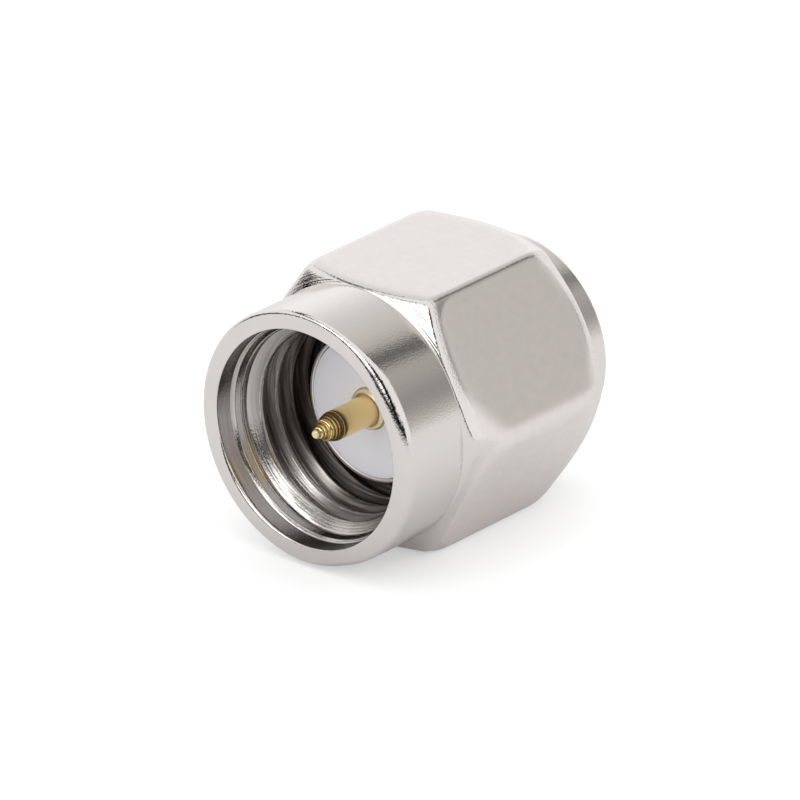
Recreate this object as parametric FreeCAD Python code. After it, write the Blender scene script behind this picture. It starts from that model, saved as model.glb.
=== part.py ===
import FreeCAD, Part
import math
import os

# Straight SMA plug for semi-rigid cable: a turned body with its insulator and centre contact,
# and a hexagonal coupling nut that turns freely on it, held by a split ring.
# Millimetres. The connector axis is Y, the mating side is -Y, and +Z is up. The origin is on
# the axis in the mating reference plane, where the outer contact face meets the socket.

# Centre contact
contact_radius = 0.45
contact_reach = 2.40
tip_radius = 0.13
tip_length = 0.12
point_base_radius = 0.20
point_step_radius = 0.335
point_step_length = 0.26
point_length = 0.83
point_bulge = 0.72
contact_flange_radius = 0.62
contact_flange_height = 0.08
contact_flare = 0.12
contact_body_radius = 0.635
contact_barb_height = 0.085
contact_barb_length = 0.50
contact_barb_place = 2.0
conductor_radius = 0.455
solder_clearance = 0.02
solder_cup_depth = 2.0

# Insulator
dielectric_radius = 2.12
dielectric_length = 4.40
press_gap = 0.01

# Body
outer_contact_wall = 0.14
edge_break = 0.04
nose_length = 2.40
flange_lip = 0.10
barrel_step = 0.10
barrel_length = 1.33
barrel_chamfer = 0.18
cable_radius = 1.79
cable_clearance = 0.03
cable_mouth_chamfer = 0.12

# Gasket
gasket_fit = 0.02
gasket_width = 0.71
gasket_thickness = 0.60

# Coupling nut
across_flats = 8.0
hex_corner_radius = 0.36
hex_length = 5.96
collar_step = 0.11
collar_length = 2.44
nut_reach = 2.86
chamfer_angle = 30.0
rear_chamfer_inset = 0.12
outer_rim_rounding = 0.15
inner_rim_rounding = 0.08
entry_depth = 0.66
lead_in_length = 0.64
thread_major_radius = 3.175
thread_depth = 0.355
entry_clearance = 0.11
thread_pitch = 25.4 / 36
thread_flank_angle = 30.0
thread_root_width = 0.12
thread_start_angle = 332.0
thread_runout = 0.46
relief_clearance = 0.125
running_clearance = 0.10
rear_mouth_chamfer = 0.15

# Split ring
ring_place = 1.34
ring_thickness = 0.50
ring_bite = 0.35
ring_outer_bite = 0.28
ring_side_clearance = 0.05
ring_outer_clearance = 0.07
ring_gap_angle = 24.0

# How far a cutting shape passes the face that it cuts
cut_over = 0.1

# Places that follow along the axis
nut_front = -nut_reach
hex_front = nut_front + collar_length
nut_rear = hex_front + hex_length
flange_front = nose_length
barrel_front = nut_rear + running_clearance
body_rear = barrel_front + barrel_length
gasket_front = flange_front - gasket_thickness
ring_middle = flange_front + ring_place

# Radii that follow
dielectric_bore_radius = dielectric_radius + press_gap
nose_radius = dielectric_bore_radius + outer_contact_wall
gasket_inner_radius = nose_radius + gasket_fit
gasket_outer_radius = gasket_inner_radius + gasket_width
flange_radius = gasket_outer_radius + flange_lip
barrel_radius = flange_radius + barrel_step
cable_bore_radius = cable_radius + cable_clearance
collar_radius = across_flats / 2 - collar_step
thread_minor_radius = thread_major_radius - thread_depth
entry_radius = thread_major_radius + entry_clearance
relief_radius = max(thread_major_radius, gasket_outer_radius) + relief_clearance
chamber_radius = flange_radius + running_clearance
ring_inner_radius = flange_radius - ring_bite
ring_outer_radius = flange_radius + ring_outer_bite
body_groove_radius = ring_inner_radius - running_clearance
nut_groove_radius = ring_outer_radius + ring_outer_clearance


def turned(outline):
    """Revolve a closed half section about the connector axis.

    Each point is (place along the axis, radius). A pair of points is an arc that passes
    through the first and ends at the second.
    """
    def at(point):
        return FreeCAD.Vector(point[1], point[0], 0)

    edges = []
    previous = outline[0]
    for step in outline[1:] + [outline[0]]:
        if isinstance(step[0], tuple):
            through, end = step
            edges.append(Part.Arc(at(previous), at(through), at(end)).toShape())
        else:
            end = step
            edges.append(Part.LineSegment(at(previous), at(end)).toShape())
        previous = end
    face = Part.Face(Part.Wire(edges))
    return face.revolve(FreeCAD.Vector(0, 0, 0), FreeCAD.Vector(0, 1, 0), 360)


def rounding(centre, radius, start_angle, end_angle):
    """Middle and end point of an arc, with angles in degrees from +Y towards a larger radius."""
    def on_arc(angle):
        turn = math.radians(angle)
        return (centre[0] + radius * math.cos(turn), centre[1] + radius * math.sin(turn))

    return on_arc((start_angle + end_angle) / 2), on_arc(end_angle)


def contact_outline(grow, front, rear):
    """Section of the contact's thick end with its retaining barb, grown by a gap all round."""
    barb_start = contact_barb_place
    barb_end = contact_barb_place + contact_barb_length
    straight = contact_body_radius + grow
    return [
        (front, 0), (front, straight),
        (barb_start, straight), (barb_end, straight + contact_barb_height), (barb_end + grow, straight),
        (rear, straight), (rear, 0),
    ]


def centre_contact():
    """Turned pin: stepped point, shank, flange on the insulator, barb and solder cup."""
    tip = -contact_reach
    step = tip + tip_length + point_step_length
    shoulder = tip + point_length
    bulge_radius = point_step_radius + (contact_radius - point_step_radius) * point_bulge
    flange_face = -contact_flange_height
    flare_start = flange_face - contact_flare
    shank = turned([
        (tip, 0), (tip, tip_radius - edge_break), (tip + edge_break, tip_radius),
        (tip + tip_length, tip_radius), (tip + tip_length, point_base_radius),
        (step, point_step_radius),
        (((step + shoulder) / 2, bulge_radius), (shoulder, contact_radius)),
        (flare_start, contact_radius),
        rounding((flare_start, contact_radius + contact_flare), contact_flare, -90, 0),
        (flange_face, contact_flange_radius), (0, contact_flange_radius), (0, 0),
    ])
    thick_end = turned(contact_outline(0, 0, dielectric_length))
    cup_radius = conductor_radius + solder_clearance
    cup = Part.makeCylinder(cup_radius, solder_cup_depth,
                            FreeCAD.Vector(0, dielectric_length - solder_cup_depth, 0),
                            FreeCAD.Vector(0, 1, 0))
    return shank.fuse(thick_end).cut(cup).removeSplitter()


def dielectric():
    """Insulator bead, flush with the outer contact face and pressed over the contact's barb."""
    bead = turned([(0, 0), (0, dielectric_radius), (dielectric_length, dielectric_radius),
                   (dielectric_length, 0)])
    return bead.cut(turned(contact_outline(press_gap, -cut_over, dielectric_length + cut_over)))


def connector_body():
    """Turned body: outer contact nose, flange with the ring groove, rear barrel and its bores."""
    groove_half = ring_thickness / 2 + running_clearance
    groove_front = ring_middle - groove_half
    groove_rear = ring_middle + groove_half
    outside = turned([
        (0, 0), (0, nose_radius - edge_break), (edge_break, nose_radius),
        (flange_front, nose_radius), (flange_front, flange_radius),
        (groove_front, flange_radius), (groove_front, body_groove_radius),
        (groove_rear, body_groove_radius), (groove_rear, flange_radius),
        (barrel_front, flange_radius), (barrel_front, barrel_radius),
        (body_rear - barrel_chamfer, barrel_radius), (body_rear, barrel_radius - barrel_chamfer),
        (body_rear, 0),
    ])
    bead_seat = dielectric_length
    bores = turned([
        (-cut_over, 0), (-cut_over, dielectric_bore_radius), (bead_seat, dielectric_bore_radius),
        (bead_seat, cable_bore_radius), (body_rear - cable_mouth_chamfer, cable_bore_radius),
        (body_rear, cable_bore_radius + cable_mouth_chamfer),
        (body_rear + cut_over, cable_bore_radius + cable_mouth_chamfer), (body_rear + cut_over, 0),
    ])
    return outside.cut(bores)


def gasket():
    """Flat soft washer on the nose, lying against the flange."""
    return turned([
        (gasket_front, gasket_inner_radius), (gasket_front, gasket_outer_radius),
        (flange_front, gasket_outer_radius), (flange_front, gasket_inner_radius),
    ])


def snap_ring():
    """Flat spring ring with a gap, half in the body's groove and half in the nut's."""
    front = ring_middle - ring_thickness / 2
    rear = ring_middle + ring_thickness / 2
    ring = turned([
        (front, ring_inner_radius), (front, ring_outer_radius),
        (rear, ring_outer_radius), (rear, ring_inner_radius),
    ])
    reach = 2 * ring_outer_radius
    half_gap = math.radians(ring_gap_angle / 2)
    side = reach * math.tan(half_gap)
    wedge_front = front - cut_over
    wedge = Part.Face(Part.makePolygon([
        FreeCAD.Vector(0, wedge_front, 0),
        FreeCAD.Vector(side, wedge_front, reach),
        FreeCAD.Vector(-side, wedge_front, reach),
        FreeCAD.Vector(0, wedge_front, 0),
    ])).extrude(FreeCAD.Vector(0, ring_thickness + 2 * cut_over, 0))
    return ring.cut(wedge)


def hexagon_bar():
    """Hexagonal bar with one flat down and its six long edges rounded."""
    corner_radius = across_flats / 2 / math.cos(math.radians(30))
    corners = [
        FreeCAD.Vector(corner_radius * math.cos(math.radians(60 * k)), hex_front,
                       corner_radius * math.sin(math.radians(60 * k)))
        for k in range(7)
    ]
    bar = Part.Face(Part.makePolygon(corners)).extrude(FreeCAD.Vector(0, hex_length, 0))
    long_edges = [
        edge for edge in bar.Edges
        if abs(edge.Vertexes[0].Point.y - edge.Vertexes[1].Point.y) > hex_length / 2
    ]
    return bar.makeFillet(hex_corner_radius, long_edges)


def thread_groove(front, rear):
    """Half turns that make a right-hand groove, from a pitch before the thread to one behind it.

    Both ends lie in the air of the entrance and of the relief, which are wider than the thread.
    The helix is made about Z, then laid along the connector axis.
    """
    inner_radius = thread_minor_radius - cut_over
    depth = thread_major_radius - inner_radius
    root_half = thread_root_width / 2
    mouth_half = root_half + depth * math.tan(math.radians(thread_flank_angle))
    profile = Part.makePolygon([
        FreeCAD.Vector(inner_radius, 0, -mouth_half),
        FreeCAD.Vector(thread_major_radius, 0, -root_half),
        FreeCAD.Vector(thread_major_radius, 0, root_half),
        FreeCAD.Vector(inner_radius, 0, mouth_half),
        FreeCAD.Vector(inner_radius, 0, -mouth_half),
    ])
    path = Part.makeHelix(thread_pitch, thread_pitch / 2, inner_radius)
    half_turn = Part.Wire(path).makePipeShell([profile], True, True)
    origin = FreeCAD.Vector(0, 0, 0)
    pieces = []
    for count in range(math.ceil(2 * (rear - front) / thread_pitch) + 3):
        piece = half_turn.copy()
        piece.rotate(origin, FreeCAD.Vector(0, 0, 1), 180 * count)
        piece.translate(FreeCAD.Vector(0, 0, (count / 2 - 1) * thread_pitch))
        piece.rotate(origin, FreeCAD.Vector(1, 0, 0), -90)
        piece.rotate(origin, FreeCAD.Vector(0, 1, 0), thread_start_angle)
        piece.translate(FreeCAD.Vector(0, front, 0))
        pieces.append(piece)
    return pieces


def coupling_nut():
    """Hexagonal nut with turned end chamfers, a round collar, a stepped bore and its thread."""
    slope = math.tan(math.radians(chamfer_angle))
    beyond = across_flats * 0.6
    front_start = collar_radius
    rear_start = across_flats / 2 - rear_chamfer_inset
    ends = turned([
        (hex_front, 0), (hex_front, front_start),
        (hex_front + (beyond - front_start) * slope, beyond),
        (nut_rear - (beyond - rear_start) * slope, beyond),
        (nut_rear, rear_start), (nut_rear, 0),
    ])
    rim_centre = (nut_front + outer_rim_rounding, collar_radius - outer_rim_rounding)
    collar = turned([
        (nut_front, 0), (nut_front, rim_centre[1]),
        rounding(rim_centre, outer_rim_rounding, 180, 90),
        (hex_front + cut_over, collar_radius), (hex_front + cut_over, 0),
    ])
    lead_in_start = nut_front + entry_depth
    thread_start = lead_in_start + lead_in_length
    thread_end = gasket_front - thread_runout
    chamber_front = flange_front - 2 * running_clearance
    groove_half = ring_thickness / 2 + ring_side_clearance
    groove_front = ring_middle - groove_half
    groove_rear = ring_middle + groove_half
    mouth_centre = (nut_front + inner_rim_rounding, entry_radius + inner_rim_rounding)
    bore = turned([
        (nut_front - cut_over, 0), (nut_front - cut_over, mouth_centre[1]),
        (nut_front, mouth_centre[1]),
        rounding(mouth_centre, inner_rim_rounding, 180, 270),
        (lead_in_start, entry_radius), (thread_start, thread_minor_radius),
        (thread_end, thread_minor_radius), (thread_end, relief_radius),
        (chamber_front, relief_radius), (chamber_front, chamber_radius),
        (groove_front, chamber_radius), (groove_front, nut_groove_radius),
        (groove_rear, nut_groove_radius), (groove_rear, chamber_radius),
        (nut_rear - rear_mouth_chamfer, chamber_radius),
        (nut_rear, chamber_radius + rear_mouth_chamfer),
        (nut_rear + cut_over, chamber_radius + rear_mouth_chamfer), (nut_rear + cut_over, 0),
    ])
    blank = hexagon_bar().common(ends).fuse(collar).cut(bore).removeSplitter()
    return blank.cut(thread_groove(lead_in_start, thread_end))


parts = {
    "coupling_nut": coupling_nut(),
    "snap_ring": snap_ring(),
    "gasket": gasket(),
    "connector_body": connector_body(),
    "dielectric": dielectric(),
    "centre_contact": centre_contact(),
}

os.makedirs("parts", exist_ok=True)
for name, shape in parts.items():
    shape.exportStep("parts/" + name + ".step")
    print(name, shape.isValid(), len(shape.Solids), round(shape.Volume, 3))
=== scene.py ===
import math

import bpy
import numpy as np
from mathutils import Matrix, Vector


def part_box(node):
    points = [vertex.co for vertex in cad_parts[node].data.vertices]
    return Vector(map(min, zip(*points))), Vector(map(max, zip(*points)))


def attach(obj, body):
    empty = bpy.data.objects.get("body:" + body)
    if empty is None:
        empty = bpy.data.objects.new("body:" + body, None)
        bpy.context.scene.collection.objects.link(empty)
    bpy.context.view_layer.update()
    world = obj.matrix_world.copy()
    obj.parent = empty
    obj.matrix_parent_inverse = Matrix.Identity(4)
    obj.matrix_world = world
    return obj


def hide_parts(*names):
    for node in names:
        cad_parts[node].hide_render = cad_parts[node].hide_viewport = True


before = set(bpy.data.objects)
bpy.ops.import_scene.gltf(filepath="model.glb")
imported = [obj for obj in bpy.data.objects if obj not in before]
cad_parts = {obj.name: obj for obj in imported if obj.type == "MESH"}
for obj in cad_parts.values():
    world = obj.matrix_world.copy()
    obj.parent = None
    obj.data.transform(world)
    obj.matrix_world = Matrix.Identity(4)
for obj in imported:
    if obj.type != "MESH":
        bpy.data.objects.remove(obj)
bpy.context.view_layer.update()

# The view: a long lens from the front right, a little above, as for a product picture. The
# connector lies on one flat of its nut with its mating side to the lower left. Lengths below
# are in millimetres times MM, because the frame is in metres.
MM = 0.001
azimuth = math.radians(40.556)
elevation = math.radians(24.029)
roll = math.radians(-0.352)
camera_distance = 335.82 * MM
aim_right = 2.735 * MM
aim_up = 1.141 * MM
focal_pixels = 11787.4
picture_pixels = 800
sensor_width = 36.0

nut_low, nut_high = (np.array(corner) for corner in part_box("coupling_nut"))
back = Vector((math.sin(azimuth) * math.cos(elevation),
               -math.cos(azimuth) * math.cos(elevation), math.sin(elevation)))
level_right = Vector((math.cos(azimuth), math.sin(azimuth), 0))
level_up = back.cross(level_right)
right = level_right * math.cos(roll) + level_up * math.sin(roll)
up = level_up * math.cos(roll) - level_right * math.sin(roll)
nut_mouth = Vector((0, nut_low[1], 0))

camera = bpy.data.objects.new("camera", bpy.data.cameras.new("camera"))
bpy.context.collection.objects.link(camera)
camera.matrix_world = Matrix.Translation(
    nut_mouth + back * camera_distance + right * aim_right + up * aim_up
) @ Matrix((right, up, back)).transposed().to_4x4()
camera.data.sensor_width = sensor_width
camera.data.lens = focal_pixels / picture_pixels * sensor_width
camera.data.clip_start = 10 * MM
camera.data.clip_end = 5.0
bpy.context.scene.camera = camera
bpy.context.scene.view_settings.view_transform = "Standard"


# The body: one piece turned from brass bar and nickel plated. Its thin nose is the outer
# contact, the flange behind it carries the ring groove, and the barrel at the rear is bored
# for the cable, which is soldered in.
nose_radius = 2.27 * MM
bead_bore_radius = 2.13 * MM
flange_front = 2.40 * MM
flange_radius = 3.10 * MM
groove_floor_radius = 2.65 * MM
groove_front, groove_rear = 3.39 * MM, 4.09 * MM
barrel_front = 5.64 * MM
bead_rear = 4.40 * MM
cable_bore_radius = 1.82 * MM
barrel_chamfer = 0.18 * MM
mouth_chamfer = 0.12 * MM
edge_softness, contact_edge_softness, inside_softness = 0.05 * MM, 0.06 * MM, 0.02 * MM
barrel_matte, nose_matte = 0.40, 0.90
nose_face_depth, barrel_margin = 0.1 * MM, 0.01 * MM
steps_round = 256
body_rear = float(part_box("connector_body")[1][1])
barrel_radius = float(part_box("connector_body")[1][0])


def soft_outline(corners, softness, steps=6):
    """Rounds the corners of a closed outline of straight sides.

    Each corner becomes a parabola from a point on the side before it to a point on the side
    after it, both at that corner's softness away but never past 0.4 of the side, with one more
    point outside each end that keeps the side straight in smooth shading. A softness is one
    length, or a pair for the two sides. Corners have the shape (corner, angle, 2); one block of
    points is returned for each corner.
    """
    corners = np.asarray(corners, float)
    t = np.linspace(0, 1, steps + 1)[:, None, None]
    blocks = []
    for k, soft in enumerate(softness):
        corner = corners[k]
        soft_before, soft_after = soft if isinstance(soft, tuple) else (soft, soft)
        before = corners[k - 1] - corner
        after = corners[(k + 1) % len(corners)] - corner
        before_length = np.linalg.norm(before, axis=-1, keepdims=True)
        after_length = np.linalg.norm(after, axis=-1, keepdims=True)
        before = before / before_length
        after = after / after_length
        start = corner + before * np.minimum(soft_before, 0.4 * before_length)
        end = corner + after * np.minimum(soft_after, 0.4 * after_length)
        hold_start = corner + before * np.minimum(1.5 * soft_before, 0.47 * before_length)
        hold_end = corner + after * np.minimum(1.5 * soft_after, 0.47 * after_length)
        curve = (1 - t) ** 2 * start + 2 * t * (1 - t) * corner + t ** 2 * end
        blocks.append(np.concatenate([hold_start[None], curve, hold_end[None]]))
    return blocks


def swept(section, angles):
    """Carries a section of (place along the axis, radius) points round the connector axis.

    A point at angle a lies at (radius times cos a, place, radius times sin a). The section has
    one column for all angles or a column for each.
    """
    place, radius = section[..., 0], section[..., 1]
    return np.stack(np.broadcast_arrays(radius * np.cos(angles), place, radius * np.sin(angles)), -1)


def surface(name, grid, closed_section=True, closed_round=True, poles=(), caps=False):
    """Makes a mesh object of a grid of points, with a quad between each four neighbours.

    Poles are single points that close the first and last row with a fan, and caps close the
    first and last column with a flat face. Faces are turned to point outwards.
    """
    rows, columns = grid.shape[:2]
    index = np.arange(rows * columns).reshape(rows, columns)
    if closed_section:
        index = np.concatenate([index, index[:1]])
    if closed_round:
        index = np.concatenate([index, index[:, :1]], axis=1)
    quads = np.stack([index[:-1, :-1], index[:-1, 1:], index[1:, 1:], index[1:, :-1]], -1)
    faces = quads.reshape(-1, 4).tolist()
    points = grid.reshape(-1, 3)
    if poles:
        first, last = len(points), len(points) + 1
        points = np.concatenate([points, np.asarray(poles, float)])
        top, bottom = index[0], index[-1]
        faces += np.stack([np.full(len(top) - 1, first), top[1:], top[:-1]], -1).tolist()
        faces += np.stack([np.full(len(bottom) - 1, last), bottom[:-1], bottom[1:]], -1).tolist()
    if caps:
        faces.append(index[:-1, 0].tolist())
        faces.append(index[:-1, -1][::-1].tolist())
    mesh = bpy.data.meshes.new(name)
    mesh.from_pydata(points.tolist(), [], faces)
    mesh.update()
    mesh.calc_loop_triangles()
    triangles = np.empty(len(mesh.loop_triangles) * 3, int)
    mesh.loop_triangles.foreach_get("vertices", triangles)
    a, b, c = points[triangles.reshape(-1, 3)].transpose(1, 0, 2)
    if np.einsum("ij,ij->", a, np.cross(b, c)) < 0:
        mesh.flip_normals()
    mesh.polygons.foreach_set("use_smooth", np.ones(len(mesh.polygons), bool))
    piece = bpy.data.objects.new(name, mesh)
    bpy.context.collection.objects.link(piece)
    return piece


cloud_size, mottle_size, mottle_shade = 1.3 * MM, 0.30 * MM, 0.90
turning_pitch, turning_depth = 0.05 * MM, 0.008 * MM
# The dark film painted inside the bore as shade, and the roughness it adds.
shade_film_colour, shade_film_roughness = (0.070, 0.056, 0.046), 0.36
streak_length, streak_width, streak_depth = 2.0 * MM, 0.05 * MM, 0.012 * MM
streak_noise, streak_cover = (0.35, 0.65), (0.84, 1.08)


def plated(name, colour, deep_colour, matte_colour, roughness, matte_roughness, grain_size, grain_depth):
    """Plated metal: a fine grain in the surface and soft clouds in its tone.

    The mesh attribute "matte" moves the polished finish to the matte one, which has a colour of
    its own with faint mottling. The attribute "shade_film" moves the colour to a dark film, rough
    and streaked round the axis: painted shade inside a thread. The attribute "turned" brings out
    turning lines, a noise of the distance from the axis alone.
    """
    material = bpy.data.materials.new(name)
    material.use_nodes = True
    nodes, links = material.node_tree.nodes, material.node_tree.links
    shader = nodes["Principled BSDF"]
    shader.inputs["Metallic"].default_value = 1.0
    place = nodes.new("ShaderNodeTexCoord").outputs["Object"]

    def attribute(attribute_name):
        """The value that the mesh holds at this point under a name."""
        share = nodes.new("ShaderNodeAttribute")
        share.attribute_name = attribute_name
        return share.outputs["Fac"]

    def noise(at, scale, detail):
        """Soft noise from 0 to 1 of a place, with so many clouds a metre at a scale."""
        cloud = nodes.new("ShaderNodeTexNoise")
        cloud.inputs["Scale"].default_value = scale
        cloud.inputs["Detail"].default_value = detail
        links.new(at, cloud.inputs["Vector"])
        return cloud.outputs["Fac"]

    def mixed(share, first, second):
        """One colour at a share of 0 and the other at 1, each a colour or a node's output."""
        mix = nodes.new("ShaderNodeMix")
        mix.data_type = "RGBA"
        links.new(share, mix.inputs["Factor"])
        for socket, part in (("A", first), ("B", second)):
            if isinstance(part, tuple):
                mix.inputs[socket].default_value = (*part, 1)
            else:
                links.new(part, mix.inputs[socket])
        return mix.outputs["Result"]

    def product(first, second):
        """Two values multiplied, and held between 0 and 1."""
        multiply = nodes.new("ShaderNodeMath")
        multiply.operation = "MULTIPLY"
        multiply.use_clamp = True
        links.new(first, multiply.inputs[0])
        links.new(second, multiply.inputs[1])
        return multiply.outputs[0]

    matte, shade_film, turned = attribute("matte"), attribute("shade_film"), attribute("turned")
    polished_tone = mixed(noise(place, 1 / cloud_size, 4.0), deep_colour, colour)
    shaded = tuple(mottle_shade * part for part in matte_colour)
    matte_tone = mixed(noise(place, 1 / mottle_size, 3.0), shaded, matte_colour)
    around = nodes.new("ShaderNodeVectorMath")
    around.operation = "MULTIPLY"
    around.inputs[1].default_value = (1 / streak_length, 1 / streak_width, 1 / streak_length)
    links.new(place, around.inputs[0])
    streaks = noise(around.outputs[0], 1.0, 3.0)
    cover = nodes.new("ShaderNodeMapRange")
    cover.inputs["From Min"].default_value, cover.inputs["From Max"].default_value = streak_noise
    cover.inputs["To Min"].default_value, cover.inputs["To Max"].default_value = streak_cover
    links.new(streaks, cover.inputs["Value"])
    # The share of painted shade at this point, broken into streaks round the axis.
    shade_film_here = product(shade_film, cover.outputs["Result"])
    metal_tone = mixed(matte, polished_tone, matte_tone)
    links.new(mixed(shade_film_here, metal_tone, shade_film_colour), shader.inputs["Base Color"])

    polish = nodes.new("ShaderNodeMapRange")
    polish.inputs["To Min"].default_value = roughness
    polish.inputs["To Max"].default_value = matte_roughness
    links.new(matte, polish.inputs["Value"])
    filmed_polish = nodes.new("ShaderNodeMath")
    filmed_polish.operation = "MULTIPLY_ADD"
    filmed_polish.inputs[1].default_value = shade_film_roughness
    links.new(product(shade_film_here, shade_film_here), filmed_polish.inputs[0])
    links.new(polish.outputs["Result"], filmed_polish.inputs[2])
    links.new(filmed_polish.outputs[0], shader.inputs["Roughness"])

    flat_place = nodes.new("ShaderNodeVectorMath")
    flat_place.operation = "MULTIPLY"
    flat_place.inputs[1].default_value = (1, 0, 1)
    links.new(place, flat_place.inputs[0])
    from_axis = nodes.new("ShaderNodeVectorMath")
    from_axis.operation = "LENGTH"
    links.new(flat_place.outputs[0], from_axis.inputs[0])
    lines = nodes.new("ShaderNodeTexNoise")
    lines.noise_dimensions = "1D"
    lines.inputs["Scale"].default_value = 1 / turning_pitch
    lines.inputs["Detail"].default_value = 2.0
    links.new(from_axis.outputs["Value"], lines.inputs["W"])
    bump = nodes.new("ShaderNodeBump")
    bump.inputs["Strength"].default_value = 1.0
    bump.inputs["Distance"].default_value = grain_depth
    links.new(noise(place, 1 / grain_size, 2.0), bump.inputs["Height"])
    for share, height, rise in ((turned, lines.outputs["Fac"], turning_depth),
                                (shade_film, streaks, streak_depth)):
        next_bump = nodes.new("ShaderNodeBump")
        next_bump.inputs["Distance"].default_value = rise
        links.new(share, next_bump.inputs["Strength"])
        links.new(height, next_bump.inputs["Height"])
        links.new(bump.outputs["Normal"], next_bump.inputs["Normal"])
        bump = next_bump
    links.new(bump.outputs["Normal"], shader.inputs["Normal"])
    return material


nickel = plated("nickel_plate", (0.775, 0.737, 0.712), (0.715, 0.678, 0.652), (0.888, 0.834, 0.806),
                roughness=0.08, matte_roughness=0.42, grain_size=0.05 * MM, grain_depth=0.005 * MM)

body_corners = np.array([
    (0, bead_bore_radius), (0, nose_radius),
    (flange_front, nose_radius), (flange_front, flange_radius),
    (groove_front, flange_radius), (groove_front, groove_floor_radius),
    (groove_rear, groove_floor_radius), (groove_rear, flange_radius),
    (barrel_front, flange_radius), (barrel_front, barrel_radius),
    (body_rear - barrel_chamfer, barrel_radius), (body_rear, barrel_radius - barrel_chamfer),
    (body_rear, cable_bore_radius + mouth_chamfer), (body_rear - mouth_chamfer, cable_bore_radius),
    (bead_rear, cable_bore_radius), (bead_rear, bead_bore_radius),
])[:, None, :]
body_softness = ([contact_edge_softness] + [edge_softness] * (len(body_corners) - 3)
                 + [inside_softness] * 2)
turn = np.linspace(0, 2 * math.pi, steps_round, endpoint=False)
body = surface("plug_body", swept(np.concatenate(soft_outline(body_corners, body_softness)), turn))
body.data.materials.append(nickel)
body_points = np.empty(len(body.data.vertices) * 3)
body.data.vertices.foreach_get("co", body_points)
body_place = body_points[1::3]
body_matte = np.select([body_place > barrel_front - barrel_margin, body_place < nose_face_depth],
                       [barrel_matte, nose_matte])
body.data.attributes.new("matte", "FLOAT", "POINT").data.foreach_set("value", body_matte)
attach(body, "body")
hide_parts("connector_body")


# The insulator: a bead turned from white fluoropolymer rod, pressed into the body from the
# front until it meets the step, its face flush with the outer contact. It holds the pin.
bead_radius = 2.12 * MM
pin_bore_radius = 0.645 * MM
bead_softness = 0.02 * MM
ptfe_cloud_size, ptfe_grain_size, ptfe_grain_depth = 0.9 * MM, 0.06 * MM, 0.002 * MM
ptfe_light_depth = 0.3 * MM

ptfe = bpy.data.materials.new("white_ptfe")
ptfe.use_nodes = True
ptfe_nodes, ptfe_links = ptfe.node_tree.nodes, ptfe.node_tree.links
ptfe_shader = ptfe_nodes["Principled BSDF"]
ptfe_shader.inputs["Roughness"].default_value = 0.45
ptfe_shader.inputs["IOR"].default_value = 1.36
ptfe_shader.inputs["Subsurface Weight"].default_value = 0.25
ptfe_shader.inputs["Subsurface Radius"].default_value = (1.0, 0.95, 0.95)
ptfe_shader.inputs["Subsurface Scale"].default_value = ptfe_light_depth
ptfe_place = ptfe_nodes.new("ShaderNodeTexCoord")
ptfe_clouds = ptfe_nodes.new("ShaderNodeTexNoise")
ptfe_clouds.inputs["Scale"].default_value = 1 / ptfe_cloud_size
ptfe_tone = ptfe_nodes.new("ShaderNodeMix")
ptfe_tone.data_type = "RGBA"
ptfe_tone.inputs["A"].default_value = (0.88, 0.87, 0.92, 1)
ptfe_tone.inputs["B"].default_value = (0.94, 0.93, 0.97, 1)
ptfe_links.new(ptfe_place.outputs["Object"], ptfe_clouds.inputs["Vector"])
ptfe_links.new(ptfe_clouds.outputs["Fac"], ptfe_tone.inputs["Factor"])
ptfe_links.new(ptfe_tone.outputs["Result"], ptfe_shader.inputs["Base Color"])
ptfe_grain = ptfe_nodes.new("ShaderNodeTexNoise")
ptfe_grain.inputs["Scale"].default_value = 1 / ptfe_grain_size
ptfe_bump = ptfe_nodes.new("ShaderNodeBump")
ptfe_bump.inputs["Distance"].default_value = ptfe_grain_depth
ptfe_links.new(ptfe_place.outputs["Object"], ptfe_grain.inputs["Vector"])
ptfe_links.new(ptfe_grain.outputs["Fac"], ptfe_bump.inputs["Height"])
ptfe_links.new(ptfe_bump.outputs["Normal"], ptfe_shader.inputs["Normal"])

bead_corners = np.array([
    (0, pin_bore_radius), (0, bead_radius), (bead_rear, bead_radius), (bead_rear, pin_bore_radius),
])[:, None, :]
bead = surface("insulator_bead",
               swept(np.concatenate(soft_outline(bead_corners, [bead_softness] * 4)), turn))
bead.data.materials.append(ptfe)
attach(bead, "body")
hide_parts("dielectric")


# The centre contact: a pin turned from brass and gold plated. Its point is turned in two
# tapers that keep the tool's fine rings, with a small nub where it was parted off. A flared
# flange lies on the insulator, and the rear end is bored as a cup for the cable's conductor.
pin_tip = float(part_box("centre_contact")[0][1])
pin_rear = float(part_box("centre_contact")[1][1])
pin_radius = 0.45 * MM
nub_radius, nub_length, nub_rounding, nub_face_share = 0.135 * MM, 0.15 * MM, 0.07 * MM, 0.55
taper_start_radius = 0.17 * MM
taper_step_radius, taper_step_length, taper_step_rise = 0.285 * MM, 0.25 * MM, 0.025 * MM
taper_roundness = 1.2
point_length = 0.83 * MM
ring_pitch, ring_depth = 0.10 * MM, 0.005 * MM
shoulder_step, shoulder_run_out = 0.022 * MM, 0.06 * MM
flare_length, pin_flange_height, pin_flange_radius = 0.12 * MM, 0.09 * MM, 0.62 * MM
pin_flange_edge = 0.015 * MM
pin_body_radius = 0.635 * MM
cup_radius, cup_depth = 0.475 * MM, 2.0 * MM
point_steps, flare_steps = 200, 9
shank_matte, point_turned, finish_step = 0.15, 0.25, 0.01 * MM


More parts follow.
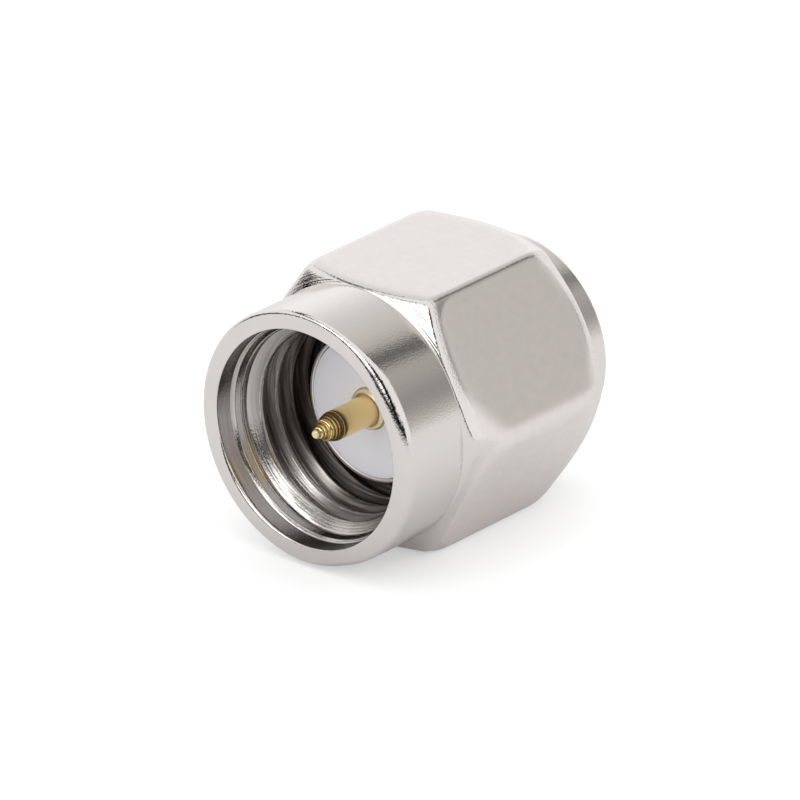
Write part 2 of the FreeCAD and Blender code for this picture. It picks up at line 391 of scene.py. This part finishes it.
def turned_point(along):
    """Radius of the pin's point at a distance behind its tip.

    The nub has a rounded end. After it a straight taper rises to a small step, and a rounder
    one, a part of a sine wave, rises from there to the full radius. Tool rings are a squared
    wave cut into both tapers. Behind the shoulder the shank is a step thinner and comes back
    to its full radius as an exponential.
    """
    nub = nub_radius * np.sqrt(1 - 0.5 * np.clip(1 - along / nub_rounding, 0, 1) ** 2)
    first = taper_start_radius + (taper_step_radius - taper_start_radius) * (
        (along - nub_length) / taper_step_length)
    second_share = np.clip((along - nub_length - taper_step_length)
                           / (point_length - nub_length - taper_step_length), 0, 1)
    second = taper_step_radius + (pin_radius - taper_step_radius) * (
        np.sin(second_share * taper_roundness) / math.sin(taper_roundness))
    rings = ring_depth * (0.5 + 0.5 * np.sin(2 * math.pi * along / ring_pitch)) ** 2
    taper = np.where(along < nub_length + taper_step_length, first,
                     second + taper_step_rise * (1 - second_share)) - rings
    radius = np.where(along < nub_length, nub, taper)
    shank = pin_radius - shoulder_step * np.exp(-np.maximum(along - point_length, 0) / shoulder_run_out)
    return np.where(along > point_length, shank, np.minimum(radius, pin_radius))


point_along = np.linspace(0, point_length + 3 * shoulder_run_out, point_steps)
point_rows = np.stack([pin_tip + point_along, turned_point(point_along)], -1)
flare_angle = np.linspace(-math.pi / 2, 0, flare_steps)
flare_rows = np.stack([
    -pin_flange_height - flare_length + flare_length * np.cos(flare_angle),
    pin_radius + flare_length + flare_length * np.sin(flare_angle),
], -1)
tail_rows = [
    (0, pin_flange_radius), (0, pin_body_radius),
    (pin_rear, pin_body_radius), (pin_rear, cup_radius), (pin_rear - cup_depth, cup_radius),
]
pin_rows = np.concatenate([
    [(pin_tip, nub_face_share * nub_radius)], point_rows,
    [(-pin_flange_height - 1.5 * flare_length, pin_radius)], flare_rows,
    [(-pin_flange_height, pin_flange_radius - pin_flange_edge),
     (-pin_flange_height + pin_flange_edge, pin_flange_radius)],
    tail_rows,
])
pin_grid = swept(pin_rows[:, None, :], turn[::2])
pin = surface("centre_pin", pin_grid, closed_section=False,
              poles=[(0, pin_tip, 0), (0, pin_rear - cup_depth, 0)])
# The matte gold is a paler cream: the rougher finish, and on the nub and flange partly a painted
# highlight.
gold = plated("gold_plate", (1.0, 0.75, 0.33), (0.97, 0.68, 0.26), (1.0, 0.86, 0.56),
              roughness=0.18, matte_roughness=0.50, grain_size=0.05 * MM, grain_depth=0.0015 * MM)
pin.data.materials.append(gold)
from_tip = pin_rows[:, 0] - pin_tip
flare_end = -pin_flange_height - pin_tip
# Matte along the pin: the nub and the flange, whose pale cream is partly painted highlight, and a little
# on the shank.
pin_matte_and_highlight = np.interp(
    from_tip,
    [nub_length - 2 * finish_step, nub_length, point_length, point_length + finish_step,
     flare_end - flare_length, flare_end],
    [1, 0, 0, shank_matte, shank_matte, 1])
pin_turned = np.where((from_tip > nub_length) & (from_tip < point_length), point_turned, 0.0)
for name, values in (("matte", pin_matte_and_highlight), ("turned", pin_turned)):
    values = np.concatenate([np.repeat(values, pin_grid.shape[1]), [0.0, 0.0]])
    pin.data.attributes.new(name, "FLOAT", "POINT").data.foreach_set("value", values)
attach(pin, "body")
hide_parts("centre_contact")


# The gasket: a flat washer of soft black silicone, stretched over the nose and lying against
# the flange, where the end of the socket presses on it.
gasket_inner, gasket_outer = 2.29 * MM, 3.00 * MM
gasket_thickness = 0.60 * MM
gasket_softness = 0.12 * MM
dust_size, dust_depth = 0.08 * MM, 0.003 * MM

rubber = bpy.data.materials.new("black_silicone")
rubber.use_nodes = True
rubber_nodes, rubber_links = rubber.node_tree.nodes, rubber.node_tree.links
rubber_shader = rubber_nodes["Principled BSDF"]
rubber_shader.inputs["IOR"].default_value = 1.41
rubber_place = rubber_nodes.new("ShaderNodeTexCoord")
rubber_dust = rubber_nodes.new("ShaderNodeTexNoise")
rubber_dust.inputs["Scale"].default_value = 1 / dust_size
rubber_tone = rubber_nodes.new("ShaderNodeMix")
rubber_tone.data_type = "RGBA"
rubber_tone.inputs["A"].default_value = (0.012, 0.011, 0.011, 1)
rubber_tone.inputs["B"].default_value = (0.030, 0.027, 0.026, 1)
rubber_polish = rubber_nodes.new("ShaderNodeMapRange")
rubber_polish.inputs["To Min"].default_value = 0.50
rubber_polish.inputs["To Max"].default_value = 0.75
rubber_bump = rubber_nodes.new("ShaderNodeBump")
rubber_bump.inputs["Distance"].default_value = dust_depth
rubber_links.new(rubber_place.outputs["Object"], rubber_dust.inputs["Vector"])
rubber_links.new(rubber_dust.outputs["Fac"], rubber_tone.inputs["Factor"])
rubber_links.new(rubber_tone.outputs["Result"], rubber_shader.inputs["Base Color"])
rubber_links.new(rubber_dust.outputs["Fac"], rubber_polish.inputs["Value"])
rubber_links.new(rubber_polish.outputs["Result"], rubber_shader.inputs["Roughness"])
rubber_links.new(rubber_dust.outputs["Fac"], rubber_bump.inputs["Height"])
rubber_links.new(rubber_bump.outputs["Normal"], rubber_shader.inputs["Normal"])

gasket_corners = np.array([
    (flange_front - gasket_thickness, gasket_inner), (flange_front - gasket_thickness, gasket_outer),
    (flange_front, gasket_outer), (flange_front, gasket_inner),
])[:, None, :]
gasket = surface("sealing_gasket",
                 swept(np.concatenate(soft_outline(gasket_corners, [gasket_softness] * 4)), turn))
gasket.data.materials.append(rubber)
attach(gasket, "body")
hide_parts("gasket")


# The split ring: spring bronze strip bent into a ring with a gap at the top. It is squeezed
# into the body's groove, then springs out into the nut's, so the nut turns but can't come off.
split_inner, split_outer = 2.75 * MM, 3.38 * MM
split_front, split_rear = 3.49 * MM, 3.99 * MM
split_gap, split_steps = math.radians(24), 161

split_corners = np.array([
    (split_front, split_inner), (split_front, split_outer),
    (split_rear, split_outer), (split_rear, split_inner),
])[:, None, :]
split_turn = np.linspace(math.pi / 2 + split_gap / 2, 2.5 * math.pi - split_gap / 2, split_steps)
split_ring = surface(
    "split_ring", swept(np.concatenate(soft_outline(split_corners, [edge_softness] * 4)), split_turn),
    closed_round=False, caps=True)
bronze = plated("spring_bronze", (0.72, 0.50, 0.32), (0.60, 0.40, 0.24), (0.66, 0.46, 0.30),
                roughness=0.30, matte_roughness=0.40, grain_size=0.05 * MM, grain_depth=0.0015 * MM)
split_ring.data.materials.append(bronze)
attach(split_ring, "nut")
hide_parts("snap_ring")


# The coupling nut: turned from hexagonal brass bar, tumbled and nickel plated, so its corners
# are soft. A round collar leads, both ends of the hexagon are chamfered at 30 degrees, and the
# bore has a plain entrance, a lead-in, a right-hand 1/4-36 thread and the chamber for the body.
nut_front, nut_rear = float(nut_low[1]), float(nut_high[1])
half_flats = float(nut_high[2])
collar_radius = 3.89 * MM
collar_length = 2.44 * MM
collar_root_softness = 0.015 * MM
corner_roundings = np.array([0.80, 0.30, 0.40, 0.40, 0.45, 0.38]) * MM
chamfer_rise = math.tan(math.radians(30))
rear_chamfer_radius = half_flats - 0.12 * MM
rim_rounding, worn_rim_rounding, rim_steps = 0.15 * MM, 0.40 * MM, 13
worn_middle, worn_half_width, worn_fade = map(math.radians, (-15, 58, 28))
mouth_softness, worn_mouth_softness = 0.035 * MM, 0.15 * MM
worn_mouth_middle, worn_mouth_width = math.radians(222), math.radians(38)
chamfer_softness, facet_softness, flat_softness = 0.22 * MM, 0.10 * MM, 0.35 * MM
wear_reach, wear_drop = 0.30 * MM, 0.07 * MM
corner_wear_reach, corner_wear_drop = 0.70 * MM, 0.28 * MM
# Wear of the hexagon's ends at its corners: each corner's angle in degrees and its share.
front_wear = [(0, 0.90), (60, 0.05), (120, 0.10), (300, 0.30)]
rear_wear = [(0, 0.50), (60, 0.50), (120, 0.12), (300, 0.30)]
worn_corner_width = math.radians(15)
entry_row_depths = np.array([0.60, 0.59, 0.45, 0.25]) * MM
entry_radius, entry_depth = 3.325 * MM, 0.61 * MM
lead_in_depths = np.array([0.61, 0.66, 0.70, 0.93, 0.97, 1.34]) * MM
lead_in_radii = np.array([3.31, 3.26, 3.225, 3.205, 3.18, 2.82]) * MM
thread_minor, thread_major = 2.82 * MM, 3.175 * MM
thread_pitch = 25.4 / 36 * MM
thread_crest_width, thread_softness = 0.12 * MM, 0.015 * MM
thread_crest_place = 1.42 * MM
thread_end = 1.34 * MM
relief_radius = 3.30 * MM
chamber_front, chamber_radius = 2.20 * MM, 3.20 * MM
ring_groove_radius = 3.45 * MM
ring_groove_front, ring_groove_rear = 3.44 * MM, 4.04 * MM
rear_mouth_chamfer = 0.15 * MM
angles_per_side = 48
thread_rows = 170
flat_rows = 8
bright_front, bright_rear, bright_fade, field_rounding = 0.34 * MM, 0.30 * MM, 0.14 * MM, 0.60 * MM
bright_corner_shares = np.array([0, 0.58, 0.58, 0.58, 0.58, 0.58])
collar_margin, bore_margin = 0.03 * MM, 0.001 * MM
# Painted shade in the bore: how much of the dark film lies at each depth, deepening inwards.
shade_film_depths = np.array([0.0, 0.60, 0.70, 1.15, 1.5, 2.3, 3.0]) * MM
shade_film_shares = np.array([0.42, 0.44, 0.20, 0.35, 0.84, 0.90, 1.0])
# A painted highlight: less painted shade in a band low on the left of the bore, where the window's
# reflection falls.
highlight_band_middle, highlight_band_width, highlight_band_share = math.radians(239), math.radians(13), 0.55
highlight_band_depths, highlight_band_strengths = np.array([1.2, 1.5, 2.4, 3.2]) * MM, [0.3, 1.0, 1.0, 0.0]
turned_depths, turned_strengths = np.array([0.60, 0.62, 1.8, 2.6]) * MM, [0.0, 1.0, 1.0, 0.0]
# Less painted shade on the thread's crests, which stand out into the light, and partly real wear.
lit_worn_crest_height, lit_worn_crest_depths = 0.03 * MM, np.array([1.3, 2.6]) * MM
lit_worn_crest_shares = [0.55, 0.92]
bore_mattes = np.array([0.14, 0.14, 0.05, 0.08, 0.20, 0.30, 0.40])


def gathered_angles(per_side, gathering=0.9):
    """Angles round the nut, closer together at the hexagon's corners.

    Within each sixth of a turn the angle is the share of the side less a sine wave, so steps
    are a tenth of the mean at a corner and nearly twice the mean at the middle of a flat.
    """
    share = np.arange(6 * per_side) / per_side
    return math.pi / 3 * (share - gathering * np.sin(2 * math.pi * share) / (2 * math.pi))


def hexagon_radius(angles):
    """Distance from the axis to a hexagon with rounded corners, corners at 0, 60, 120 degrees.

    On a flat it is half the width across flats over the cosine of the angle from the flat's
    middle. Near a corner it is the far side of the rounding circle along that angle. Tumbling
    left each corner with a radius of its own.
    """
    corner_rounding = corner_roundings[np.round(angles / (math.pi / 3)).astype(int) % 6]
    from_corner = np.abs((angles + math.pi / 6) % (math.pi / 3) - math.pi / 6)
    flat = half_flats / np.cos(math.pi / 6 - from_corner)
    centre = (half_flats - corner_rounding) / math.cos(math.pi / 6)
    under_root = corner_rounding ** 2 - (centre * np.sin(from_corner)) ** 2
    arc = centre * np.cos(from_corner) + np.sqrt(np.maximum(under_root, 0))
    arc_end = np.arctan2(corner_rounding * math.sin(math.pi / 6),
                         centre + corner_rounding * math.cos(math.pi / 6))
    return np.where(from_corner < arc_end, arc, flat)


def thread_radius(place, angles):
    """Radius of the threaded bore at a place along the axis and an angle.

    A crest's middle moves one pitch towards the mating side in each turn. Beside the crest's
    half width the wall falls away at 60 degrees, down to the major radius. The lead-in, a
    short step and then a cone, cuts whatever stands inside it, and a soft maximum takes the
    sharpness off every edge.
    """
    depth = place - nut_front
    drift = depth - thread_crest_place + thread_pitch * (angles - math.pi) / (2 * math.pi)
    from_crest = np.abs((drift + thread_pitch / 2) % thread_pitch - thread_pitch / 2)
    flank = (from_crest - thread_crest_width / 2) * math.sqrt(3)
    rise = 0.5 * (flank + np.sqrt(flank ** 2 + thread_softness ** 2))
    thread = thread_minor + np.minimum(rise, thread_major - thread_minor)
    lead_in = np.interp(depth, lead_in_depths, lead_in_radii)
    gap = thread - lead_in
    return 0.5 * (thread + lead_in + np.sqrt(gap ** 2 + thread_softness ** 2))


def wear_and_highlight_at(middle, width):
    """A bell curve of the angle from one place's middle, for wear and for the painted highlight band."""
    away = (nut_turn - middle + math.pi) % (2 * math.pi) - math.pi
    return np.exp(-(away / width) ** 2)[:, None]


def corner_wear(shares):
    """How worn each angle is, as a bell at each worn corner times that corner's share."""
    return sum(share * wear_and_highlight_at(math.radians(corner), worn_corner_width)[:, 0]
               for corner, share in shares)


def at_all(place, radius):
    """One corner of the outline, as a (place, radius) pair for every angle."""
    return np.stack(np.broadcast_arrays(place, radius, nut_turn)[:2], -1)


nut_turn = gathered_angles(angles_per_side)
hex_front = nut_front + collar_length
hex_radius = hexagon_radius(nut_turn)
shoulder_place = hex_front + (hex_radius - collar_radius) * chamfer_rise
heel_place = nut_rear - (hex_radius - rear_chamfer_radius) * chamfer_rise
lead_in_start = nut_front + entry_depth
front_worn, rear_worn = corner_wear(front_wear), corner_wear(rear_wear)
front_drop = wear_drop + corner_wear_drop * front_worn
rear_drop = wear_drop + corner_wear_drop * rear_worn
mouth_worn = wear_and_highlight_at(worn_mouth_middle, worn_mouth_width)
soft_mouth = mouth_softness + (worn_mouth_softness - mouth_softness) * mouth_worn
outside = [
    (at_all(nut_front, entry_radius), soft_mouth),
    (at_all(nut_front, collar_radius), rim_rounding),
    (at_all(hex_front, collar_radius), (edge_softness, collar_root_softness)),
    (at_all(shoulder_place - front_drop * chamfer_rise, hex_radius - front_drop),
     (chamfer_softness, facet_softness)),
    (at_all(shoulder_place + wear_reach + corner_wear_reach * front_worn, hex_radius), flat_softness),
    (at_all(heel_place - wear_reach - corner_wear_reach * rear_worn, hex_radius), flat_softness),
    (at_all(heel_place + rear_drop * chamfer_rise, hex_radius - rear_drop),
     (facet_softness, chamfer_softness)),
    (at_all(nut_rear, rear_chamfer_radius), chamfer_softness),
    (at_all(nut_rear, chamber_radius + rear_mouth_chamfer), edge_softness),
    (at_all(nut_rear - rear_mouth_chamfer, chamber_radius), edge_softness),
    (at_all(ring_groove_rear, chamber_radius), inside_softness),
    (at_all(ring_groove_rear, ring_groove_radius), inside_softness),
    (at_all(ring_groove_front, ring_groove_radius), inside_softness),
    (at_all(ring_groove_front, chamber_radius), inside_softness),
    (at_all(chamber_front, chamber_radius), inside_softness),
    (at_all(chamber_front, relief_radius), inside_softness),
    (at_all(thread_end, relief_radius), inside_softness),
]
thread_places = np.linspace(thread_end, lead_in_start, thread_rows)[:, None]
thread_block = np.stack(np.broadcast_arrays(thread_places, thread_radius(thread_places, nut_turn)), -1)
nut_corners = [corner for corner, _ in outside] + [thread_block[0], thread_block[-1]]
nut_blocks = soft_outline(nut_corners, [soft for _, soft in outside])

# The rim is a true quarter circle, larger where it is worn. Rows are added along the flats, for
# the border between bright and matte.
worn = np.abs((nut_turn - worn_middle + math.pi) % (2 * math.pi) - math.pi)
rim_radius = rim_rounding + (worn_rim_rounding - rim_rounding) * np.clip(
    (worn_half_width + worn_fade - worn) / worn_fade, 0, 1) ** 2
rim_tilt = np.radians(np.linspace(0, 90, rim_steps))[:, None]
nut_blocks[1] = np.stack(np.broadcast_arrays(
    nut_front + rim_radius * (1 - np.cos(rim_tilt)),
    collar_radius - rim_radius * (1 - np.sin(rim_tilt))), -1)
nut_blocks[5:5] = [nut_blocks[4][-1] + (nut_blocks[5][0] - nut_blocks[4][-1]) * share
                   for share in np.linspace(0, 1, flat_rows + 2)[1:-1, None, None, None]]
entry_rows = np.stack([at_all(nut_front + entry_row, entry_radius) for entry_row in entry_row_depths])
nut_section = np.concatenate(nut_blocks + [thread_block, entry_rows])
nut = surface("hex_coupling_nut", swept(nut_section, nut_turn))
nut.data.materials.append(nickel)

# Tumbling leaves the edges bright and the flats matte, in a field with rounded corners that
# fades at its border. Only the roundest corner is matte along its edge. Inside, a dark film of
# painted shade thickens with the depth. It is thinner on the thread's crests, partly for their
# real wear, and in a painted highlight band low on the left where the window's reflection falls.
place, radius = nut_section[..., 0], nut_section[..., 1]
across = half_flats * np.abs(np.tan(nut_turn % (math.pi / 3) - math.pi / 6))
corner_reach = (bright_corner_shares * corner_roundings)[
    np.round(nut_turn / (math.pi / 3)).astype(int) % 6]
from_edges = np.stack(np.broadcast_arrays(
    place - shoulder_place - bright_front, heel_place - place - bright_rear,
    half_flats * math.tan(math.pi / 6) - corner_reach - across))
past_rounding = np.linalg.norm(np.maximum(field_rounding - from_edges, 0), axis=0)
inward = 1 + (field_rounding - past_rounding) / bright_fade
outer = radius > collar_radius + collar_margin
nut_matte = np.where(outer, np.clip(inward, 0, 1), 0.0)
depth = place - nut_front
# The painted shade of the bore by depth, and the full dark film in the chamber behind the thread.
bore_shade_film = np.interp(depth, shade_film_depths, shade_film_shares)
bore_shade_film = bore_shade_film * np.where(radius < thread_minor + lit_worn_crest_height,
                                 np.interp(depth, lit_worn_crest_depths, lit_worn_crest_shares), 1.0)
# Painted highlight: the painted shade thins in that band.
highlight_band = highlight_band_share * wear_and_highlight_at(highlight_band_middle, highlight_band_width)[:, 0]
bore_shade_film = bore_shade_film * (1 - highlight_band * np.interp(depth, highlight_band_depths, highlight_band_strengths))
nut_shade_film = np.where((radius < entry_radius + bore_margin) & (place < chamber_front), bore_shade_film, 0.0)
nut_shade_film = np.where((radius < ring_groove_radius + bore_margin) & (place >= chamber_front)
                    & (place < nut_rear - rear_mouth_chamfer), shade_film_shares[-1], nut_shade_film)
nut_matte = np.where(nut_shade_film > 0, np.interp(depth, shade_film_depths, bore_mattes), nut_matte)
nut_turned = np.where(outer & ((place < shoulder_place - front_drop * chamfer_rise)
                               | (place > heel_place + rear_drop * chamfer_rise)), 1.0, 0.0)
nut_turned = np.where(nut_shade_film > 0, np.interp(depth, turned_depths, turned_strengths), nut_turned)
for name, values in (("matte", nut_matte), ("shade_film", nut_shade_film), ("turned", nut_turned)):
    nut.data.attributes.new(name, "FLOAT", "POINT").data.foreach_set("value", values.ravel())
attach(nut, "nut")
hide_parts("coupling_nut")


# The table: a plain white plane that keeps the soft shadow under the connector. To the eye its
# own glow lifts it to the white of the room beyond.
table_half_width = 1.5
table_white = 0.53
table_level = float(nut_low[2])
table_points = [(sx * table_half_width, sy * table_half_width, table_level)
                for sx, sy in ((-1, -1), (1, -1), (1, 1), (-1, 1))]
table_mesh = bpy.data.meshes.new("table")
table_mesh.from_pydata(table_points, [], [(0, 1, 2, 3)])
table = bpy.data.objects.new("table", table_mesh)
bpy.context.collection.objects.link(table)


def by_ray(nodes, links, seen, mirrored, otherwise):
    """A strength for rays from the camera, one for mirrored rays and one for all others."""
    path = nodes.new("ShaderNodeLightPath")
    value = None
    for share, amount in (("Is Camera Ray", seen - otherwise), ("Is Glossy Ray", mirrored - otherwise)):
        step = nodes.new("ShaderNodeMath")
        step.operation = "MULTIPLY_ADD"
        step.inputs[1].default_value = amount
        links.new(path.outputs[share], step.inputs[0])
        if value is None:
            step.inputs[2].default_value = otherwise
        else:
            links.new(value, step.inputs[2])
        value = step.outputs[0]
    return value


white = bpy.data.materials.new("white_table")
white.use_nodes = True
white_nodes, white_links = white.node_tree.nodes, white.node_tree.links
white_nodes.clear()
paint = white_nodes.new("ShaderNodeBsdfDiffuse")
paint.inputs["Color"].default_value = (table_white, table_white, table_white, 1)
lift = white_nodes.new("ShaderNodeEmission")
white_links.new(by_ray(white_nodes, white_links, seen=0.42, mirrored=0.12, otherwise=0.0),
                lift.inputs["Strength"])
both = white_nodes.new("ShaderNodeAddShader")
white_links.new(paint.outputs[0], both.inputs[0])
white_links.new(lift.outputs[0], both.inputs[1])
white_output = white_nodes.new("ShaderNodeOutputMaterial")
white_links.new(both.outputs[0], white_output.inputs["Surface"])
table.data.materials.append(white)


# The screens: sheets round the connector that only its polished metal sees. A half tube behind
# it, parallel to its axis, is grey on the right with a dark slit above. In front, a dark gap
# lies over the table's far edge, with a tall dark opening for the camera beside a bright window
# under a dark head. Distances here are in metres.
screen_strength = 4.0


def screen(name, points, tones):
    """A sheet through a grid of points, whose glow is a ramp of tones along its first way.

    It casts no shadow and lights no matte surface: only mirrored rays meet it.
    """
    rows, columns = points.shape[:2]
    index = np.arange(rows * columns).reshape(rows, columns)
    faces = np.stack([index[:-1, :-1], index[:-1, 1:], index[1:, 1:], index[1:, :-1]], -1)
    mesh = bpy.data.meshes.new(name)
    mesh.from_pydata(points.reshape(-1, 3).tolist(), [], faces.reshape(-1, 4).tolist())
    share = np.repeat(np.linspace(0, 1, rows), columns)
    mesh.attributes.new("share", "FLOAT", "POINT").data.foreach_set("value", share)
    sheet = bpy.data.objects.new(name, mesh)
    bpy.context.collection.objects.link(sheet)
    sheet.visible_camera = False
    sheet.visible_diffuse = False
    sheet.visible_shadow = False
    glow = bpy.data.materials.new(name)
    glow.use_nodes = True
    nodes, links = glow.node_tree.nodes, glow.node_tree.links
    nodes.clear()
    along = nodes.new("ShaderNodeAttribute")
    along.attribute_name = "share"
    ramp = nodes.new("ShaderNodeValToRGB")
    stops = ramp.color_ramp.elements
    for position, _ in tones[1:-1]:
        stops.new(position)
    for stop, (position, tone) in zip(stops, tones):
        stop.position = position
        stop.color = (*(part / screen_strength for part in tone), 1)
    light = nodes.new("ShaderNodeEmission")
    light.inputs["Strength"].default_value = screen_strength
    links.new(along.outputs["Fac"], ramp.inputs["Fac"])
    links.new(ramp.outputs["Color"], light.inputs["Color"])
    links.new(light.outputs[0], nodes.new("ShaderNodeOutputMaterial").inputs["Surface"])
    sheet.data.materials.append(glow)


tent_radius, tent_steps = 0.16, 90
tent_start, tent_end = 0.07, 0.35
tent_first, tent_last = 1, 170
tent_tones = [(1, 0.72), (6, 0.64), (14, 0.45), (22, 0.36), (30, 0.36), (38, 0.44), (56, 0.50), (60, 0.18),
              (71, 0.16), (75, 0.48), (86, 0.64), (94, 0.71), (110, 0.76), (126, 0.88), (142, 1.05),
              (152, 1.12), (170, 1.10)]
warm_tint, cool_tint, cool_from = (1.01, 0.985, 0.945), (1.0, 1.01, 1.02), 100
tent_angles = np.radians(np.linspace(tent_first, tent_last, tent_steps))[:, None]
tent_rows = np.array([tent_start, tent_end])
tent_ramp = [((degrees - tent_first) / (tent_last - tent_first),
              [tone * part for part in (cool_tint if degrees > cool_from else warm_tint)])
             for degrees, tone in tent_tones]
screen("tent", np.stack(np.broadcast_arrays(
    tent_radius * np.cos(tent_angles), tent_rows, tent_radius * np.sin(tent_angles)), -1), tent_ramp)


patch_columns, patch_rows = 24, 12


def dome_patch(azimuths, elevations, distance):
    """Points at a distance from the connector, between two elevations and two azimuths.

    Both are in degrees, and the azimuth counts from the mating side towards the right.
    """
    across = np.radians(np.linspace(*azimuths, patch_columns))
    upward = np.radians(np.linspace(*elevations, patch_rows))[:, None]
    return distance * np.stack(np.broadcast_arrays(
        np.sin(across) * np.cos(upward), -np.cos(across) * np.cos(upward), np.sin(upward)), -1)


dark, dim, bright = (0.01, 0.01, 0.01), (0.5, 0.5, 0.5), (2.8, 2.8, 2.8)
window_tones = [(0.0, dim), (0.15, dim), (0.35, bright), (1.0, bright)]
screen("front_gap", dome_patch((-74, 75), (-0.9, 13), 0.26), [(0.0, dark), (1.0, dark)])
screen("camera_opening", dome_patch((29, 55), (8, 48), 0.25), [(0.0, dark), (1.0, dark)])
screen("window", dome_patch((-34, 29), (14, 44), 0.27), window_tones)
screen("window_head", dome_patch((-125, 5), (44, 53), 0.24), [(0.0, dark), (1.0, dark)])


# The room beyond: white to the eye and a plain soft light to all else.
room = bpy.data.worlds.new("room")
room.use_nodes = True
bpy.context.scene.world = room
room_nodes, room_links = room.node_tree.nodes, room.node_tree.links
room_light = room_nodes["Background"]
room_links.new(by_ray(room_nodes, room_links, seen=1.0, mirrored=1.05, otherwise=1.50),
               room_light.inputs["Strength"])
room_light.inputs["Color"].default_value = (1, 1, 1, 1)
